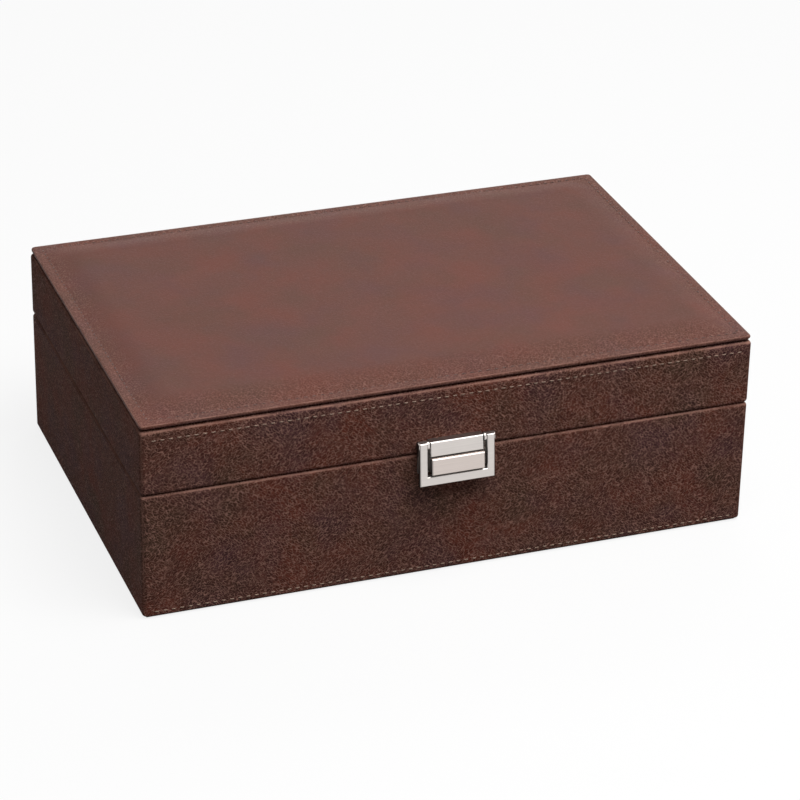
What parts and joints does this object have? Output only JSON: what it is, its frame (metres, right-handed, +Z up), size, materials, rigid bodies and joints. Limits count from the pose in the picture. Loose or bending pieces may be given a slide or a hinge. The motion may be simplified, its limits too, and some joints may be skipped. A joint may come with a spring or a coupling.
{
  "type": "watch box",
  "caption": "Leather-covered watch box: padded lid on back hinges, a metal bail clasp in front, and a velvet partition with a lift-out pillow in each compartment.",
  "frame": {"origin": "middle of the flat underside", "axes": "+X along the front to the right as seen from the front, +Y from the front to the hinges at the back, +Z up"},
  "size_m": [0.3, 0.2124, 0.103],
  "materials": {
    "leather": "dark brown pull-up leatherette, satin",
    "fibreboard": "plain fibreboard",
    "felt": "thin dark felt",
    "pillow_velvet": "cream short-pile velvet",
    "lining_velvet": "cream short-pile velvet",
    "nickel": "brushed nickel plate",
    "champagne_metal": "brushed champagne nickel plate",
    "screw_steel": "zinc plated"
  },
  "bodies": {
    "base": {"base_back_board": "fibreboard", "base_back_lining": "lining_velvet", "base_bottom_board": "fibreboard", "base_floor_lining": "lining_velvet", "base_front_board": "fibreboard", "base_front_lining": "lining_velvet", "base_leather": "leather", "base_left_board": "fibreboard", "base_left_lining": "lining_velvet", "base_right_board": "fibreboard", "base_right_lining": "lining_velvet", "clasp_base_plate": "nickel", "clasp_base_screws": "screw_steel", "clasp_keeper": "champagne_metal", "cross_divider_1": "lining_velvet", "cross_divider_2": "lining_velvet", "cross_divider_3": "lining_velvet", "cross_divider_4": "lining_velvet", "cross_divider_5": "lining_velvet", "hinge_base_leaf_left": "nickel", "hinge_base_leaf_right": "nickel", "hinge_base_screws": "screw_steel", "hinge_pins": "nickel", "long_divider": "lining_velvet", "underside_felt": "felt"},
    "lid": {"clasp_lid_block": "nickel", "clasp_lid_plate": "nickel", "clasp_lid_screws": "screw_steel", "clasp_pin": "nickel", "hinge_lid_leaf_left": "nickel", "hinge_lid_leaf_right": "nickel", "hinge_lid_screws": "screw_steel", "lid_back_board": "fibreboard", "lid_back_lining": "lining_velvet", "lid_ceiling_pad": "lining_velvet", "lid_front_board": "fibreboard", "lid_front_lining": "lining_velvet", "lid_leather": "leather", "lid_left_board": "fibreboard", "lid_left_lining": "lining_velvet", "lid_panel_board": "fibreboard", "lid_right_board": "fibreboard", "lid_right_lining": "lining_velvet", "lid_top_board": "fibreboard", "lid_top_pad": "leather"},
    "bail": {"clasp_bail": "nickel"},
    "pillow_01": {"watch_pillow_01": "pillow_velvet"},
    "pillow_02": {"watch_pillow_02": "pillow_velvet"},
    "pillow_03": {"watch_pillow_03": "pillow_velvet"},
    "pillow_04": {"watch_pillow_04": "pillow_velvet"},
    "pillow_05": {"watch_pillow_05": "pillow_velvet"},
    "pillow_06": {"watch_pillow_06": "pillow_velvet"},
    "pillow_07": {"watch_pillow_07": "pillow_velvet"},
    "pillow_08": {"watch_pillow_08": "pillow_velvet"},
    "pillow_09": {"watch_pillow_09": "pillow_velvet"},
    "pillow_10": {"watch_pillow_10": "pillow_velvet"},
    "pillow_11": {"watch_pillow_11": "pillow_velvet"},
    "pillow_12": {"watch_pillow_12": "pillow_velvet"}
  },
  "joints": [
    {"name": "lid_hinge", "type": "hinge", "parent": "base", "child": "lid", "pos_m": [0, 0.10255, 0.0642], "axis": [-1, 0, 0], "range_deg": [0, 95]},
    {"name": "bail_hinge", "type": "hinge", "parent": "lid", "child": "bail", "pos_m": [0, -0.10215, 0.0698], "axis": [-1, 0, 0], "range_deg": [0, 90]},
    {"name": "pillow_01_lift", "type": "slide", "parent": "base", "child": "pillow_01", "axis": [0, 0, 1], "range_m": [0, 0.028]},
    {"name": "pillow_02_lift", "type": "slide", "parent": "base", "child": "pillow_02", "axis": [0, 0, 1], "range_m": [0, 0.028]},
    {"name": "pillow_03_lift", "type": "slide", "parent": "base", "child": "pillow_03", "axis": [0, 0, 1], "range_m": [0, 0.028]},
    {"name": "pillow_04_lift", "type": "slide", "parent": "base", "child": "pillow_04", "axis": [0, 0, 1], "range_m": [0, 0.028]},
    {"name": "pillow_05_lift", "type": "slide", "parent": "base", "child": "pillow_05", "axis": [0, 0, 1], "range_m": [0, 0.028]},
    {"name": "pillow_06_lift", "type": "slide", "parent": "base", "child": "pillow_06", "axis": [0, 0, 1], "range_m": [0, 0.028]},
    {"name": "pillow_07_lift", "type": "slide", "parent": "base", "child": "pillow_07", "axis": [0, 0, 1], "range_m": [0, 0.028]},
    {"name": "pillow_08_lift", "type": "slide", "parent": "base", "child": "pillow_08", "axis": [0, 0, 1], "range_m": [0, 0.028]},
    {"name": "pillow_09_lift", "type": "slide", "parent": "base", "child": "pillow_09", "axis": [0, 0, 1], "range_m": [0, 0.028]},
    {"name": "pillow_10_lift", "type": "slide", "parent": "base", "child": "pillow_10", "axis": [0, 0, 1], "range_m": [0, 0.028]},
    {"name": "pillow_11_lift", "type": "slide", "parent": "base", "child": "pillow_11", "axis": [0, 0, 1], "range_m": [0, 0.028]},
    {"name": "pillow_12_lift", "type": "slide", "parent": "base", "child": "pillow_12", "axis": [0, 0, 1], "range_m": [0, 0.028]}
  ]
}
